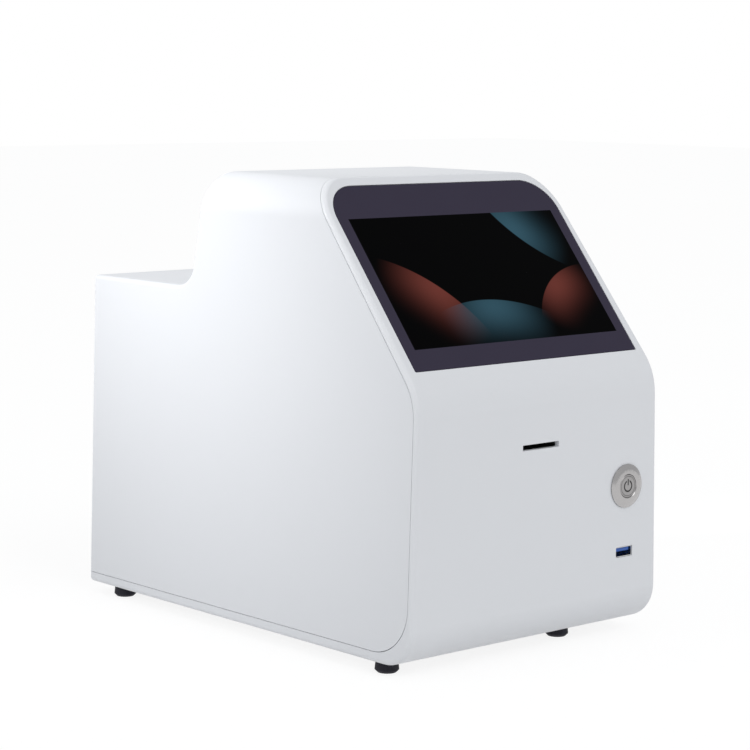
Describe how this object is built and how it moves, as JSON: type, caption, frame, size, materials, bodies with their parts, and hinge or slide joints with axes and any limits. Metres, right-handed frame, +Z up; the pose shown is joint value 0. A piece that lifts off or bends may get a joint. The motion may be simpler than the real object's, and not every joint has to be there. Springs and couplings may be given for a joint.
{
  "type": "automated cell counter",
  "caption": "Bench-top automated cell counter with a slanted touch display, a slide slot, a push button and a data socket in front, and a motorised stage and inverted optics inside.",
  "frame": {"origin": "on the bench, at the bottom centre of the bounding box", "axes": "+Z up, -Y towards the user at the slanted display, +X to the user's right"},
  "size_m": [0.1924, 0.296, 0.2625],
  "materials": {
    "housing_plastic": "fine satin moulding, light cool grey",
    "cover_glass": "glossy, printed black behind",
    "display": "glossy dark panel",
    "black_adhesive": "matt foam",
    "sheet_steel": "zinc-plated sheet",
    "stainless": "turned, satin to polished",
    "screw_steel": "zinc-plated",
    "dark_rubber": "matt moulded rubber",
    "black_plastic": "fine grained",
    "blue_plastic": "satin",
    "circuit_board": "solder mask",
    "cast_aluminium": "machined, satin",
    "black_anodised": "anodised, matt",
    "bearing_steel": "ground",
    "brass": "turned",
    "optical_glass": "polished",
    "motor_black": "powder coat",
    "rear_sheet": "powder coat, fine texture"
  },
  "bodies": {
    "housing": {"hood": "housing_plastic", "front_panel": "housing_plastic", "base_tray": "housing_plastic", "cover_glass": "cover_glass", "glass_tape": "black_adhesive", "display_module": "display", "display_bracket": "sheet_steel", "panel_screws": "screw_steel", "tray_screws": "screw_steel", "foot_screws": "screw_steel", "rear_screws": "screw_steel", "button_bezel": "stainless", "button_seal": "dark_rubber", "button_nut": "sheet_steel", "button_contact_block": "black_plastic", "slot_guide": "black_plastic", "socket_shell": "sheet_steel", "socket_blade": "blue_plastic", "socket_board": "circuit_board", "foot_front_left": "dark_rubber", "foot_front_right": "dark_rubber", "foot_rear_left": "dark_rubber", "foot_rear_right": "dark_rubber", "chassis_plate": "cast_aluminium", "stage_base": "cast_aluminium", "stage_rail_left": "bearing_steel", "stage_rail_right": "bearing_steel", "stage_motor": "motor_black", "optics_column": "cast_aluminium", "lamp_housing": "black_anodised", "condenser_lens": "optical_glass", "focus_rail": "bearing_steel", "focus_bearing": "cast_aluminium", "focus_motor": "motor_black", "main_board": "circuit_board", "board_standoffs": "brass", "board_cooler": "cast_aluminium", "power_supply": "sheet_steel", "rear_panel": "rear_sheet", "fan_frame": "black_plastic", "power_inlet": "black_plastic", "inlet_pins": "brass", "switch_frame": "black_plastic"},
    "button": {"button_plunger": "stainless"},
    "stage_slide": {"stage_runners": "bearing_steel", "stage_carriage": "cast_aluminium", "slide_tray": "black_anodised", "slide_clamps": "sheet_steel", "stage_nut": "brass"},
    "stage_leadscrew": {"stage_screw": "bearing_steel", "stage_coupling": "cast_aluminium"},
    "focus_slide": {"focus_carriage": "cast_aluminium", "lens_tube": "black_anodised", "objective_lens": "black_anodised", "camera_housing": "black_anodised", "focus_nut": "brass"},
    "focus_leadscrew": {"focus_screw": "bearing_steel", "focus_coupling": "cast_aluminium"},
    "fan": {"fan_rotor": "black_plastic"},
    "rocker": {"power_rocker": "black_plastic"}
  },
  "joints": [
    {"name": "button_press", "type": "slide", "parent": "housing", "child": "button", "axis": [0, 1, 0], "range_m": [0, 0.002], "stiffness_N_per_m": 600},
    {"name": "stage_travel", "type": "slide", "parent": "housing", "child": "stage_slide", "axis": [0, 1, 0], "range_m": [0, 0.032]},
    {"name": "stage_screw_turn", "type": "hinge", "parent": "housing", "child": "stage_leadscrew", "pos_m": [0.0452, -0.086, 0.109], "axis": [0, 1, 0], "range_deg": [-1, 1450]},
    {"name": "focus_travel", "type": "slide", "parent": "housing", "child": "focus_slide", "axis": [0, 0, 1], "range_m": [-0.003, 0.003]},
    {"name": "focus_screw_turn", "type": "hinge", "parent": "housing", "child": "focus_leadscrew", "pos_m": [0.0252, -0.028, 0.0665], "axis": [0, 0, 1], "range_deg": [-275, 275]},
    {"name": "fan_spin", "type": "hinge", "parent": "housing", "child": "fan", "pos_m": [-0.034, 0.134, 0.1245], "axis": [0, 1, 0], "continuous": true},
    {"name": "power_switch", "type": "hinge", "parent": "housing", "child": "rocker", "pos_m": [0.046, 0.1424, 0.0925], "axis": [-1, 0, 0], "range_deg": [0, 16]}
  ],
  "couplings": [
    {"joint": "stage_screw_turn", "follows": "stage_travel", "rad_per_m": 785.4},
    {"joint": "focus_screw_turn", "follows": "focus_travel", "rad_per_m": 1570.8}
  ]
}
